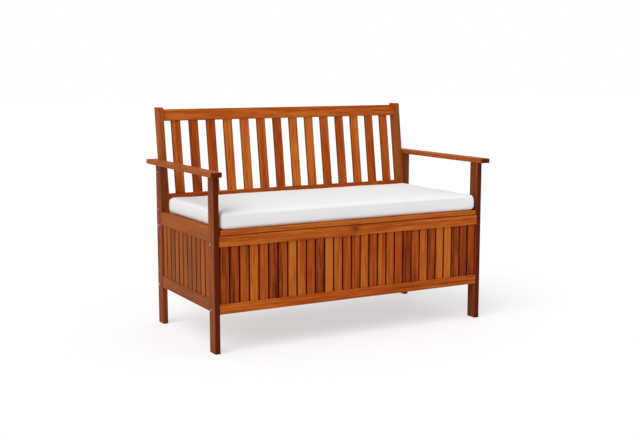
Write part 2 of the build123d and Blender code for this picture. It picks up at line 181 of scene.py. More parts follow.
# Wrinkles of the cushion: waves to the metre along each axis, and shares of the wrinkles' height
HOLLOW_WAVES = (5.0, 7.0, 4.0)
HOLLOW_SHARE = 0.9
CREASE_WAVES = (26.0, 15.0, 30.0)
CREASE_SHIFT = 4.0
CREASE_SHARE = 0.7

# Floor, light and camera
WHITE = (1.0, 1.0, 1.0)
FLOOR_GREY = (0.8, 0.8, 0.8)
FLOOR_GLOW_SHARE = 0.4
FLOOR_BRIGHTNESS = 1.03
FLOOR_SIZE = 30.0
SUN_FROM = Vector((-0.6, -0.3, 0.75))
FILM_WIDTH = 36.0
SIGHT_END = 200.0


def like(*endings):
    """The names of the nodes that end in one of these words."""
    return sorted(name for name in NODES if name.endswith(endings))


# Sizes and colours that a user would change

class BenchWood(bpy.types.PropertyGroup):
    """Tones and grain of the oiled timber."""
    amber: FloatVectorProperty(
        name="Amber", description="Colour of the lightest boards", subtype="COLOR",
        default=(0.62, 0.165, 0.020))
    russet: FloatVectorProperty(
        name="Russet", description="Colour of the middling boards", subtype="COLOR",
        default=(0.44, 0.076, 0.007))
    umber: FloatVectorProperty(
        name="Umber", description="Colour of the darkest boards", subtype="COLOR",
        default=(0.105, 0.013, 0.002))
    # Tan is the duller, paler colour of painted shade and sheen on the pieces of the sides.
    tan: FloatVectorProperty(
        name="Tan", description="Colour that faded boards tend to", subtype="COLOR",
        default=(0.35, 0.11, 0.026))
    gloss: FloatProperty(
        name="Gloss", description="Specular level of the oil", subtype="FACTOR", min=0, max=1, default=0.07)
    grain_depth: FloatProperty(
        name="Grain depth", description="Depth of the open grain", unit="LENGTH", default=0.25 * MM)


class BenchFittings(bpy.types.PropertyGroup):
    """Colours, sizes and places of the hinges, bolts and screws."""
    hinge_colour: FloatVectorProperty(
        name="Hinge plating", description="Colour of the hinges", subtype="COLOR", default=(0.66, 0.60, 0.48))
    bolt_colour: FloatVectorProperty(
        name="Bolt plating", description="Colour of the bolts", subtype="COLOR", default=(0.55, 0.53, 0.50))
    screw_colour: FloatVectorProperty(
        name="Screw plating", description="Colour of the screws", subtype="COLOR", default=(0.60, 0.57, 0.50))
    bolt_radius: FloatProperty(
        name="Bolt radius", description="Radius of a bolt head", unit="LENGTH", default=4.2 * MM)
    bolt_height: FloatProperty(
        name="Bolt height", description="Height of a bolt head", unit="LENGTH", default=2.0 * MM)
    lower_bolt_rise: FloatProperty(
        name="Lower bolt", description="Height of the lower bolts above the panels' foot", unit="LENGTH",
        default=12 * MM)
    upper_bolt_drop: FloatProperty(
        name="Upper bolt", description="Depth of the upper bolts below the seat", unit="LENGTH",
        default=50 * MM)
    stile_bolt_rise: FloatProperty(
        name="Stile foot bolt", description="Height of the stiles' lower bolts above the seat", unit="LENGTH",
        default=16 * MM)
    stile_bolt_drop: FloatProperty(
        name="Stile top bolt", description="Depth of the stiles' upper bolts below the armrests",
        unit="LENGTH", default=30 * MM)
    hinge_length: FloatProperty(
        name="Hinge length", description="Length of a hinge", unit="LENGTH", default=60 * MM)
    leaf_gap: FloatProperty(
        name="Leaf gap", description="Gap between the leaves of a closed hinge", unit="LENGTH",
        default=0.4 * MM)
    screw_radius: FloatProperty(
        name="Screw radius", description="Radius of a hinge screw's head", unit="LENGTH", default=3.0 * MM)
    screw_rise: FloatProperty(
        name="Screw rise", description="How far a screw's head stands out of its leaf", unit="LENGTH",
        default=0.12 * MM)
    screw_spread: FloatProperty(
        name="Screw spread", description="Distance of a screw from its hinge's middle", unit="LENGTH",
        default=18 * MM)
    screw_drop: FloatProperty(
        name="Screw drop", description="Depth of the screws below the hinge's axis", unit="LENGTH",
        default=10 * MM)


class BenchCushion(bpy.types.PropertyGroup):
    """Size of the padding and look of its cloth."""
    cloth: FloatVectorProperty(
        name="Cloth", description="Colour of the cover", subtype="COLOR", default=(0.945, 0.947, 0.95))
    voxel: FloatProperty(
        name="Voxel", description="Mesh size that the cover is simulated at", unit="LENGTH", default=8 * MM)
    allowance: FloatProperty(
        name="Allowance", description="How much larger the cover is cut at each side", unit="LENGTH",
        default=3 * MM)
    fullness: FloatProperty(
        name="Fullness", description="How much thicker the cover is cut", unit="LENGTH", default=5 * MM)
    crown: FloatProperty(
        name="Crown", description="Rise of the top from its edges to its middle", unit="LENGTH",
        default=9 * MM)
    draw_in: FloatProperty(
        name="Draw-in", description="How far the sides are drawn in between the corners", unit="LENGTH",
        default=4 * MM)
    edge_radius: FloatProperty(
        name="Edge radius", description="Radius of the cover's edges before it is filled", unit="LENGTH",
        default=15 * MM)
    swell: FloatProperty(
        name="Swell", description="The most that the filling moves the cover", unit="LENGTH", default=3 * MM)
    pressure: FloatProperty(
        name="Pressure", description="Pressure of the filling", default=4.0)
    frames: IntProperty(
        name="Frames", description="Steps of the simulation", default=20)
    wrinkle: FloatProperty(
        name="Wrinkle", description="Height of the soft wrinkles", unit="LENGTH", default=2.0 * MM)


class BenchStage(bpy.types.PropertyGroup):
    """Camera and light."""
    camera_place: FloatVectorProperty(
        name="Camera", description="Where the camera stands", subtype="XYZ", unit="LENGTH",
        default=(-1.9914, -3.5916, 1.0))
    camera_yaw: FloatProperty(
        name="Yaw", description="Turn of the camera from straight ahead", subtype="ANGLE",
        default=math.radians(29.11))
    camera_dip: FloatProperty(
        name="Dip", description="Tilt of the camera below level", subtype="ANGLE", default=math.radians(8.25))
    lens: FloatProperty(
        name="Lens", description="Focal length in millimetres on a 36 mm film", default=58.45)
    sky: FloatProperty(
        name="Sky", description="Strength of the even light from all round", default=0.6)
    sun: FloatProperty(
        name="Sun", description="Strength of the soft main light", default=1.57)
    sun_spread: FloatProperty(
        name="Sun spread", description="Apparent size of the main light", subtype="ANGLE",
        default=math.radians(50))


# Shader expressions

class Wire:
    """A shader socket that takes part in arithmetic."""

    def __init__(self, shader, socket):
        self.shader = shader
        self.socket = socket

    def _maths(self, operation, first, second=None):
        operands = [first] if second is None else [first, second]
        return self.shader.node("ShaderNodeMath", {"operation": operation}, dict(enumerate(operands)))

    def __add__(self, other):
        return self._maths("ADD", self, other)

    def __radd__(self, other):
        return self._maths("ADD", other, self)

    def __sub__(self, other):
        return self._maths("SUBTRACT", self, other)

    def __rsub__(self, other):
        return self._maths("SUBTRACT", other, self)

    def __mul__(self, other):
        return self._maths("MULTIPLY", self, other)

    def __rmul__(self, other):
        return self._maths("MULTIPLY", other, self)

    def __truediv__(self, other):
        return self._maths("DIVIDE", self, other)

    def __rtruediv__(self, other):
        return self._maths("DIVIDE", other, self)

    def __pow__(self, other):
        return self._maths("POWER", self, other)

    def __rpow__(self, other):
        return self._maths("POWER", other, self)

    def __abs__(self):
        return self._maths("ABSOLUTE", self)

    def floor(self):
        return self._maths("FLOOR", self)

    def fraction(self):
        return self._maths("FRACT", self)

    def sine(self):
        return self._maths("SINE", self)

    def above(self, limit):
        return self._maths("GREATER_THAN", self, limit)

    def clamped(self):
        return self.shader.node("ShaderNodeClamp", {}, {"Value": self})

    def ramp(self, low, high):
        """0 below low, 1 above high and smooth between them."""
        sockets = {"Value": self, "From Min": low, "From Max": high}
        return self.shader.node("ShaderNodeMapRange", {"interpolation_type": "SMOOTHSTEP"}, sockets)

    def fade(self, low, high):
        """1 below low, 0 above high and smooth between them."""
        return 1.0 - self.ramp(low, high)


class Shader:
    """A material, and its nodes as expressions."""

    def __init__(self, name, tree=None):
        if tree is None:
            self.material = bpy.data.materials.new(name)
            self.material.use_nodes = True
            tree = self.material.node_tree
        self.tree = tree
        self.tree.nodes.clear()

    def node(self, kind, settings, sockets, output=0):
        """A node of a kind: its settings are set first, then its sockets."""
        made = self.tree.nodes.new(kind)
        for name, value in settings.items():
            setattr(made, name, value)
        for name, value in sockets.items():
            if isinstance(value, Wire):
                self.tree.links.new(value.socket, made.inputs[name])
            else:
                made.inputs[name].default_value = value
        return Wire(self, made.outputs[output]) if made.outputs else None

    def place(self, rake=0.0):
        """The X, Y and Z of the surface in the object's own frame, turned back by a rake about X."""
        spot = self.node("ShaderNodeTexCoord", {}, {}, "Object")
        if rake:
            sockets = {"Vector": spot, "Rotation": (rake, 0, 0)}
            spot = self.node("ShaderNodeMapping", {"vector_type": "POINT"}, sockets)
        return [self.node("ShaderNodeSeparateXYZ", {}, {0: spot}, axis) for axis in AXES]

    def vector(self, x, y, z):
        return self.node("ShaderNodeCombineXYZ", {}, {"X": x, "Y": y, "Z": z})

    def even_waves(self, places, waves):
        """A place with as many waves to the metre along all three axes."""
        return self.vector(*[place * waves for place in places])

    def noise(self, vector, scale=1.0, detail=2.0, roughness=0.5, distortion=0.0):
        sockets = {"Vector": vector, "Scale": scale, "Detail": detail, "Roughness": roughness,
                   "Distortion": distortion}
        return self.node("ShaderNodeTexNoise", {}, sockets, "Fac")

    def chance(self, number):
        """A fixed random value from 0 to 1 for each whole number."""
        return self.node("ShaderNodeTexWhiteNoise", {"noise_dimensions": "1D"}, {"W": number}, "Value")

    def mix(self, share, first, second):
        """A colour between two colours."""
        settings = {"data_type": "RGBA", "blend_type": "MIX"}
        return self.node("ShaderNodeMix", settings, {0: share, 6: first, 7: second}, 2)

    def bump(self, height, depth):
        return self.node("ShaderNodeBump", {}, {"Height": height, "Distance": depth})

    def surface(self, sockets):
        """The material, once its surface has these sockets."""
        shine = self.node("ShaderNodeBsdfPrincipled", {}, sockets)
        self.node("ShaderNodeOutputMaterial", {}, {"Surface": shine})
        return self.material


def solid(colour):
    """A colour with its alpha."""
    return (*colour, 1.0)


def darker(colour, share):
    """A share of a colour, with its alpha."""
    return solid([share * part for part in colour])


def paint(names, material):
    """Give CAD nodes a material."""
    for name in names:
        for slot in NODES[name].material_slots:
            slot.material = material


# Oiled timber

def row_of(first_node, second_node, axis):
    """The row that two neighbouring boards are in: its axis, where it starts, its pitch and its gap."""
    index = AXES.index(axis)
    first_low, first_high = (corner[index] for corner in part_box(first_node))
    second_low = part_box(second_node)[0][index]
    gap = second_low - first_high
    return axis, first_low - gap / 2, second_low - first_low, gap


def row_in(node, axis, count, gap):
    """The row of a node that holds a number of like boards, with a gap between them."""
    index = AXES.index(axis)
    low, high = (corner[index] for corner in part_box(node))
    return axis, low - gap / 2, (high - low + gap) / count, gap


def along_grain(shader, places, grain, waves, shift):
    """A place with its waves along and across the grain, moved by a board's own shift."""
    along, across = waves
    pulls = [along if axis == grain else across for axis in AXES]
    return shader.vector(*[place * pull + shift for place, pull in zip(places, pulls)])


def knot_mark(places, knot, figure):
    """How dark a ringed knot is, from its X and Z."""
    across = (places[0] - knot[0]) / KNOT_HALF_WIDTH
    up = (places[2] - knot[1]) / KNOT_HALF_HEIGHT
    reach = (across * across + up * up) ** 0.5 + (figure - 0.5) * KNOT_WAVER
    rings = (reach * KNOT_RINGS).sine() * RING_DEPTH + (1.0 - RING_DEPTH)
    return reach.fade(*KNOT_FADE) * rings * KNOT_DARKNESS


def joint_shadow(places, joint):
    """How dark the painted shadow along a joint line in the front is, from its Y and Z."""
    near_front = (places[1] - joint[0]).fade(*JOINT_DEPTH_FADE)
    near_line = abs(places[2] - joint[1]).fade(*JOINT_HEIGHT_FADE)
    return near_front * near_line * JOINT_DARKNESS


def timber(name, grain, row=None, pairs="", seed=0.0, rake=0.0, tone=0.5, spread=0.8, gap_shade=0.85,
           front_shade=None, knot=None, shade_and_sheen=0.0, joint=None):
    """Oiled hardwood whose grain runs along an axis.

    row is a row of boards, from row_of or row_in, and pairs names the axes that like boards stand on either
    side of: each board then has its own tone. tone is the middle tone, from 0 for umber to 1 for amber, and
    spread is how far boards differ from it. gap_shade is how dark a row's boards are at the gaps between
    them: painted shade of the gaps. front_shade is the Y of a narrow front face that is painted darker, as
    painted shade. knot is the X and Z of a knot. faded is how far the colour goes towards a duller, paler tan
    while the gloss goes away: painted shade and sheen. joint is the Y and Z of a dark line in the front where
    two pieces meet: painted shadow of the joint.
    """
    wood = bpy.context.scene.bench_wood
    shader = Shader(name)
    places = shader.place(rake)
    number = seed
    for axis in pairs:
        number = number + places[AXES.index(axis)].above(0.0) * PAIR_STEPS[axis]
    if row:
        axis, first, pitch, gap = row
        along = (places[AXES.index(axis)] - first) / pitch
        number = number + along.floor() * BOARD_STEP
    luck = shader.chance(number)
    shift = luck * BOARD_SHIFT
    broad = along_grain(shader, places, grain, BROAD_WAVES, shift)
    streaks = shader.noise(broad, scale=1.7, detail=3.0, roughness=0.6, distortion=0.6)
    figure = shader.noise(broad, scale=6.5, detail=3.0, roughness=0.65, distortion=0.4)
    fine = along_grain(shader, places, grain, FINE_WAVES, shift)
    stripes = shader.noise(fine, scale=0.35, detail=2.0, roughness=0.6)
    grain_lines = shader.noise(fine, scale=1.0, detail=2.0, roughness=0.6)
    pores = shader.noise(fine, scale=2.6, detail=1.0).ramp(*PORE_LEVELS)
    shade = (luck - 0.5) * spread + tone
    for pattern, weight in ((streaks, STREAK_WEIGHT), (figure, FIGURE_WEIGHT), (stripes, STRIPE_WEIGHT)):
        shade = shade + (pattern - 0.5) * weight
    light_half = shader.mix(shade.ramp(*LIGHT_TONES), solid(wood.russet), solid(wood.amber))
    colour = shader.mix(shade.ramp(*DARK_TONES), solid(wood.umber), light_half)
    # Painted shade and sheen: the colour goes part way to a duller, paler tan.
    if shade_and_sheen:
        colour = shader.mix(shade_and_sheen, colour, solid(wood.tan))
    dulling = grain_lines.ramp(*LINE_LEVELS) * LINE_DARKNESS + pores * PORE_DARKNESS
    marks = [dulling.clamped()]
    # Painted shade: each board darker near the gaps beside it.
    if row:
        inside = (pitch - gap) / 2 - abs(along.fraction() - 0.5) * pitch
        marks.append(inside.fade(*EDGE_FADE) * gap_shade)
    if knot:
        marks.append(knot_mark(places, knot, figure))
    # Painted shade: the narrow front face darker.
    if front_shade is not None:
        marks.append((places[1] - front_shade).fade(*FRONT_FADE) * FRONT_DARKNESS)
    # Painted shadow along the joint line where the lid meets the front rail.
    if joint:
        marks.append(joint_shadow(places, joint))
    for mark in marks:
        colour = shader.mix(mark, colour, solid(wood.umber))
    sockets = {
        "Base Color": colour,
        "Roughness": grain_lines * LINE_ROUGHNESS + figure * FIGURE_ROUGHNESS + SMOOTHEST,
        # Less gloss where the painted sheen and shade are mixed in.
        "Specular IOR Level": wood.gloss * (1.0 - shade_and_sheen),
        "Normal": shader.bump(grain_lines * LINE_HEIGHT - pores, wood.grain_depth),
    }
    return shader.surface(sockets)


class BENCH_OT_frame_timber(bpy.types.Operator):
    """Oil the legs, armrests, rails, stiles and corner battens"""
    bl_idname = "bench.frame_timber"
    bl_label = "Oil the frame"

    def execute(self, context):
        arm_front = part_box("left_armrest")[0].y
        knot = (KNOT_X, FRONT_RAIL_HIGH.z - KNOT_DROP)
        # The pieces of the sides go part way to a duller, paler tan, as painted shade and sheen; the narrow
        # front faces of the front legs and the armrests are painted darker, as painted shade.
        paint(like("_leg"), timber(
            "leg_timber", "Z", pairs="XY", seed=2, tone=-0.1, spread=0.2, shade_and_sheen=0.3,
            front_shade=FRONT_LEG_LOW.y))
        paint(like("_armrest"), timber(
            "armrest_timber", "Y", pairs="X", seed=5, tone=0.38, spread=0.2, shade_and_sheen=0.6, front_shade=arm_front))
        paint(like("_corner_batten"), timber(
            "batten_timber", "Z", pairs="XY", seed=12, tone=0.4, spread=0.5))
        paint(like("_stile"), timber(
            "stile_timber", "Z", pairs="X", seed=9, rake=BACK_RAKE, tone=0.3, spread=0.2, shade_and_sheen=0.5))
        paint(["back_top_rail"], timber(
            "back_top_timber", "X", seed=33, rake=BACK_RAKE, tone=0.62, spread=0.1))
        paint(["back_lower_rail"], timber(
            "back_lower_timber", "X", seed=35, rake=BACK_RAKE, tone=0.3, spread=0.1))
        # The front rail takes the painted shadow of its joint with the lid.
        paint(["front_upper_rail"], timber(
            "front_upper_timber", "X", seed=15, tone=0.58, spread=0.1, knot=knot, joint=LID_JOINT))
        paint(["front_lower_rail"], timber(
            "front_lower_timber", "X", seed=16, tone=0.52, spread=0.1))
        paint(["rear_upper_rail"], timber(
            "rear_upper_timber", "X", seed=23, tone=0.5, spread=0.2))
        paint(["rear_lower_rail"], timber(
            "rear_lower_timber", "X", seed=24, tone=0.5, spread=0.2))
        paint(like("_side_upper_rail"), timber(
            "side_upper_timber", "Y", pairs="X", seed=27, tone=0.42, spread=0.2, shade_and_sheen=0.6))
        paint(like("_side_lower_rail"), timber(
            "side_lower_timber", "Y", pairs="X", seed=29, tone=0.1, spread=0.2, shade_and_sheen=0.5))
        return {"FINISHED"}


class BENCH_OT_slat_timber(bpy.types.Operator):
    """Oil the slats of the panels and the backrest, each board in its own tone"""
    bl_idname = "bench.slat_timber"
    bl_label = "Oil the slats"

    def execute(self, context):
        # Boards in a row are painted darker at the gaps beside them, as painted shade.
        panel_row = row_in("front_slats", "X", PANEL_SLATS, PANEL_SLAT_GAP)
        paint(["front_slats", "rear_slats"], timber(
            "panel_slat_timber", "Z", panel_row, pairs="Y", seed=41, tone=0.46, spread=0.75))
        # The side slats go part way to a duller, paler tan, as painted shade and sheen.
        side_row = row_in("left_side_slats", "Y", SIDE_SLATS, SIDE_SLAT_GAP)
        paint(like("_side_slats"), timber(
            "side_slat_timber", "Z", side_row, pairs="X", seed=47, tone=0.2, spread=0.2, shade_and_sheen=0.5))
        back_row = row_of("back_slat_01", "back_slat_02", "X")
        back = [name for name in NODES if name.startswith("back_slat_")]
        paint(back, timber(
            "back_slat_timber", "Z", back_row, seed=53, rake=BACK_RAKE, tone=0.52, spread=0.6))
        return {"FINISHED"}


class BENCH_OT_lid_timber(bpy.types.Operator):
    """Oil the seat lid and the storage floor"""
    bl_idname = "bench.lid_timber"
    bl_label = "Oil the lid and the storage floor"

    def execute(self, context):
        # Each board is painted darker at its gaps, as painted shade, and the lid's front edge takes the
        # painted shadow of its joint with the front rail.
        lid_row = row_of("lid_slat_1", "lid_slat_2", "Y")
        lid = [name for name in NODES if name.startswith("lid_slat_")]
        paint(lid, timber(
            "lid_slat_timber", "X", lid_row, seed=61, tone=0.86, spread=0.3, gap_shade=0.15,
            joint=LID_JOINT))
        batten_low, batten_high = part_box("lid_battens")
        bare_length = batten_high.x - batten_low.x - LID_BATTENS * LID_BATTEN_WIDTH
        batten_row = row_in("lid_battens", "X", LID_BATTENS, bare_length / (LID_BATTENS - 1))
        paint(["lid_battens"], timber(
            "lid_batten_timber", "Y", batten_row, seed=67, tone=0.45, spread=0.5))
        paint(["floor_ledgers"], timber(
            "ledger_timber", "X", pairs="Y", seed=71, tone=0.45, spread=0.3))
        floor_row = row_in("floor_boards", "X", FLOOR_BOARDS, FLOOR_BOARD_GAP)
        paint(["floor_boards"], timber(
            "floor_board_timber", "Y", floor_row, seed=73, tone=0.45, spread=0.7))
        return {"FINISHED"}


# Steel fittings

def plated_steel(name, colour, roughness):
    """Plated steel with fine rubbed marks."""
    shader = Shader(name)
    places = shader.place()
    rubbed = shader.noise(shader.even_waves(places, RUB_WAVES), detail=3.0)
    cloudy = shader.noise(shader.even_waves(places, CLOUD_WAVES), detail=2.0)
    sockets = {
        "Base Color": shader.mix(cloudy.ramp(*CLOUD_LEVELS), solid(colour), darker(colour, CLOUD_SHADE)),
        "Metallic": 1.0,
        "Roughness": rubbed * RUB_ROUGHNESS + roughness,
        "Normal": shader.bump(rubbed, RUB_DEPTH),
    }
    return shader.surface(sockets)


class BENCH_OT_hinge_steel(bpy.types.Operator):
    """Plate the hinges"""
    bl_idname = "bench.hinge_steel"
    bl_label = "Plate the hinges"

    def execute(self, context):
        settings = context.scene.bench_fittings
        hinges = [name for name in NODES if name.startswith("hinge_")]
        paint(hinges, plated_steel("hinge_plating", settings.hinge_colour, roughness=0.24))
        return {"FINISHED"}


def new_piece(name, shape, material):
    """An object at the origin from a bmesh, with its faces turned outwards."""
    bmesh.ops.recalc_face_normals(shape, faces=shape.faces)
    mesh = bpy.data.meshes.new(name)
    shape.to_mesh(mesh)
    shape.free()
    mesh.materials.append(material)
    piece = bpy.data.objects.new(name, mesh)
    bpy.context.scene.collection.objects.link(piece)
    return piece


def bolt_seats(settings):
    """The middle of each bolt head's seat, on the outer faces of the legs."""
    outer_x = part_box("rear_right_leg")[1].x
    leg_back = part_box("rear_right_leg")[1].y
    seat_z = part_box("lid_slat_1")[1].z
    arm_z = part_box("right_armrest")[0].z
    seats = []
    for name in ("front_right_corner_batten", "rear_right_corner_batten"):
        low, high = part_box(name)
        for height in (low.z + settings.lower_bolt_rise, seat_z - settings.upper_bolt_drop):
            seats.append(((low.y + high.y) / 2, height))
    for height in (seat_z + settings.stile_bolt_rise, arm_z - settings.stile_bolt_drop):
        stile_front = STILE_LOW.y + (height - seat_z) * math.tan(BACK_RAKE)
        seats.append(((stile_front + leg_back) / 2, height))
    return [Vector((side * outer_x, y, z)) for side in (-1, 1) for y, z in seats]


def round_head(shape, settings, seat, face):
    """A low round head on a seat, facing along a direction, with a six-sided socket."""
    before = set(shape.verts)
    loops = []
    for reach, level, sides in HEAD_RINGS:
        place = Matrix.Translation((0, 0, level * settings.bolt_height))
        radius = reach * settings.bolt_radius
        ring = bmesh.ops.create_circle(shape, segments=sides, radius=radius, matrix=place)
        loops.append(list(dict.fromkeys(edge for vertex in ring["verts"] for edge in vertex.link_edges)))
    for near, far in zip(loops, loops[1:]):
        bmesh.ops.bridge_loops(shape, edges=near + far)
    bmesh.ops.contextual_create(shape, geom=loops[-1])
    bmesh.ops.contextual_create(shape, geom=loops[0])
    made = [vertex for vertex in shape.verts if vertex not in before]
    turn = face.to_track_quat("Z", "Y").to_matrix().to_4x4()
    bmesh.ops.transform(shape, matrix=Matrix.Translation(seat) @ turn, verts=made)


class BENCH_OT_bolts(bpy.types.Operator):
    """Make the heads of the bolts that go through the legs"""
    bl_idname = "bench.bolts"
    bl_label = "Make the bolts"

    def execute(self, context):
        settings = context.scene.bench_fittings
        shape = bmesh.new()
        for seat in bolt_seats(settings):
            round_head(shape, settings, seat, Vector((math.copysign(1, seat.x), 0, 0)))
        plating = plated_steel("bolt_plating", settings.bolt_colour, roughness=0.3)
        bolts = new_piece("bolt_heads", shape, plating)
        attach(bolts, "frame")
        return {"FINISHED"}


def screw_plating(settings, spacing, height):
    """Plated steel with a cross-shaped slot at each hinge screw, painted nearly black as painted shade and
    sunk only by a bump.
    """
    shader = Shader("screw_plating")
    places = shader.place()
    hinge = (places[0] / spacing + 0.5).floor() * spacing
    across = abs(abs(places[0] - hinge) - settings.screw_spread)
    up = abs(places[2] - height)
    arm = SLOT_HALF_WIDTH * settings.screw_radius
    reach = SLOT_REACH * settings.screw_radius
    upright = (1.0 - across.above(arm)) * (1.0 - up.above(reach))
    level = (1.0 - up.above(arm)) * (1.0 - across.above(reach))
    slot = (upright + level).clamped()
    rubbed = shader.noise(shader.even_waves(places, SCREW_RUB_WAVES), detail=3.0)
    sockets = {
        # The slot is painted nearly black, as painted shade.
        "Base Color": shader.mix(slot * SLOT_DARKNESS, solid(settings.screw_colour), solid(SLOT_SHADOW)),
        "Metallic": 1.0,
        "Roughness": rubbed * RUB_ROUGHNESS + 0.25,
        "Normal": shader.bump(1.0 - slot, SLOT_DEPTH),
    }
    return shader.surface(sockets)


class BENCH_OT_hinge_screws(bpy.types.Operator):
    """Make the countersunk screws of the hinge leaves"""
    bl_idname = "bench.hinge_screws"
    bl_label = "Make the hinge screws"

    def execute(self, context):
        settings = context.scene.bench_fittings
        pins_low, pins_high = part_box("hinge_pins")
        spacing = (pins_high.x - pins_low.x - settings.hinge_length) / 2
        middle = (pins_low + pins_high) / 2
        height = middle.z - settings.screw_drop
        plating = screw_plating(settings, spacing, height)
        radius = settings.screw_radius
        for body, side in (("frame", 1), ("lid", -1)):
            face_y = middle.y + side * settings.leaf_gap / 2
            turn = Matrix.Rotation(side * math.pi / 2, 4, "X")
            shape = bmesh.new()
            for hinge in (-spacing, 0.0, spacing):
                for end in (-settings.screw_spread, settings.screw_spread):
                    place = Matrix.Translation((hinge + end, face_y, height)) @ turn
                    bmesh.ops.create_cone(
                        shape, cap_ends=True, segments=ROUND_SIDES, radius1=radius,
                        radius2=SCREW_TAPER * radius, depth=2 * settings.screw_rise, matrix=place)
            screws = new_piece(f"hinge_{body}_screws", shape, plating)
            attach(screws, body)
        return {"FINISHED"}


# Padded cushion

def cushion_cloth(settings):
    """Off-white plain weave with two stitched seams round the border, whose sunken lines are painted darker
    as painted shade.
    """
    shader = Shader("cushion_cloth")
    places = shader.place()
    threads = []
    for thread in AXES:
        waves = [THREAD_ALONG if axis == thread else THREAD_ACROSS for axis in AXES]
        spot = shader.vector(*[place * count for place, count in zip(places, waves)])
        threads.append(shader.noise(spot, detail=1.0))
    weave = threads[0] + threads[1] + threads[2] - 1.5
    mottle = shader.noise(shader.even_waves(places, MOTTLE_WAVES), detail=3.0)
    heights = [CUSHION_LOW.z + rise for rise in SEAM_RISES]
    lower, upper = [abs(places[2] - height).fade(*SEAM_FADE) for height in heights]
    seam = lower + upper
    stitches = seam * ((places[0] + places[1]) / STITCH_LENGTH).fraction().above(STITCH_GAP)
    cloth = settings.cloth
    light = weave.ramp(*WEAVE_LEVELS) * WEAVE_STRENGTH + (1.0 - WEAVE_STRENGTH)
    colour = shader.mix(light, darker(cloth, WEAVE_SHADE), solid(cloth))
    clouds = mottle.ramp(*MOTTLE_LEVELS) * MOTTLE_STRENGTH
    colour = shader.mix(clouds, colour, darker(cloth, MOTTLE_SHADE))
    # The seam lines are painted darker, as painted shade where they sink, and the stitches a little darker
    # still.
    seam_shading = seam * SEAM_STRENGTH + stitches * STITCH_STRENGTH
    colour = shader.mix(seam_shading, colour, darker(cloth, SEAM_SHADE))
    sockets = {
        "Base Color": colour,
        "Roughness": mottle * MOTTLE_ROUGHNESS + CLOTH_ROUGHNESS,
        "Specular IOR Level": 0.2,
        "Sheen Weight": 0.25,
        "Sheen Roughness": 0.5,
        "Normal": shader.bump(weave - seam * SEAM_SINK + stitches * STITCH_RISE, WEAVE_DEPTH),
    }
    return shader.surface(sockets)


def take_shape(piece):
    """Make a piece's modifiers part of its mesh."""
    ready = piece.evaluated_get(bpy.context.evaluated_depsgraph_get())
    mesh = bpy.data.meshes.new_from_object(ready)
    old = piece.data
    piece.modifiers.clear()
    piece.data = mesh
    bpy.data.meshes.remove(old)


def cushion_start(settings):
    """The cover before it is filled: a box with soft edges around the frame's cushion, remeshed evenly."""
    spare = Vector((settings.allowance, settings.allowance, 0))
    low = CUSHION_LOW - spare
    high = CUSHION_HIGH + spare
    high.z += settings.fullness - settings.crown
    shape = bmesh.new()
    bmesh.ops.create_cube(shape, size=1.0)
    bmesh.ops.scale(shape, vec=high - low, verts=shape.verts)
    bmesh.ops.translate(shape, vec=(low + high) / 2, verts=shape.verts)
    bmesh.ops.bevel(
        shape, geom=shape.edges[:], offset=settings.edge_radius, offset_type="OFFSET", segments=EDGE_SEGMENTS,
        profile=0.5, affect="EDGES", material=-1)
    piece = new_piece("seat_cushion_cover", shape, cushion_cloth(settings))
    remesh = piece.modifiers.new("Even mesh", "REMESH")
    remesh.mode = "VOXEL"
    remesh.voxel_size = settings.voxel
    remesh.use_smooth_shade = True
    take_shape(piece)
    return piece


def crown_cover(piece, settings):
    """Raise the cover's top in the middle and draw its sides in between the corners."""
    middle = (CUSHION_LOW + CUSHION_HIGH) / 2
    half = (CUSHION_HIGH - CUSHION_LOW) / 2
    for vertex in piece.data.vertices:
        across, along = ((vertex.co[axis] - middle[axis]) / half[axis] for axis in (0, 1))
        height = (vertex.co.z - CUSHION_LOW.z) / (2 * half.z)
        swelling = max(1 - across ** CROWN_POWER, 0) * max(1 - along ** CROWN_POWER, 0)
        vertex.co.z += settings.crown * swelling * height ** 2
        vertex.co.x -= settings.draw_in * across ** SIDE_POWER * max(1 - along ** 2, 0)
        vertex.co.y -= settings.draw_in * along ** SIDE_POWER * max(1 - across ** 2, 0)


def fill_cover(piece, settings):
    """Fill the cover by a cloth simulation, its underside held flat on the lid."""
    held = piece.vertex_groups.new(name="underside")
    held_top = CUSHION_LOW.z + HELD_REACH
    held.add([vertex.index for vertex in piece.data.vertices if vertex.co.z < held_top], 1.0, "ADD")
    before = [vertex.co.copy() for vertex in piece.data.vertices]
    cloth = piece.modifiers.new("Filling", "CLOTH")
    cloth.settings.quality = CLOTH_QUALITY
    cloth.settings.vertex_group_mass = held.name
    cloth.settings.use_pressure = True
    cloth.settings.uniform_pressure_force = settings.pressure
    cloth.settings.effector_weights.gravity = 0
    cloth.point_cache.frame_start = 1
    cloth.point_cache.frame_end = settings.frames
    scene = bpy.context.scene
    for step in range(1, settings.frames + 1):
        scene.frame_set(step)
    take_shape(piece)
    scene.frame_set(1)
    for vertex, start in zip(piece.data.vertices, before):
        move = vertex.co - start
        if move.length > 0:
            capped = settings.swell * math.tanh(move.length / settings.swell)
            vertex.co = start + move * (capped / move.length)


def ripple(spot, waves, shift=0.0):
    """A soft random height at a spot, with so many waves to the metre along each axis."""
    x, y, z = (place * count for place, count in zip(spot, waves))
    return noise.noise(Vector((x, y, z + shift)))


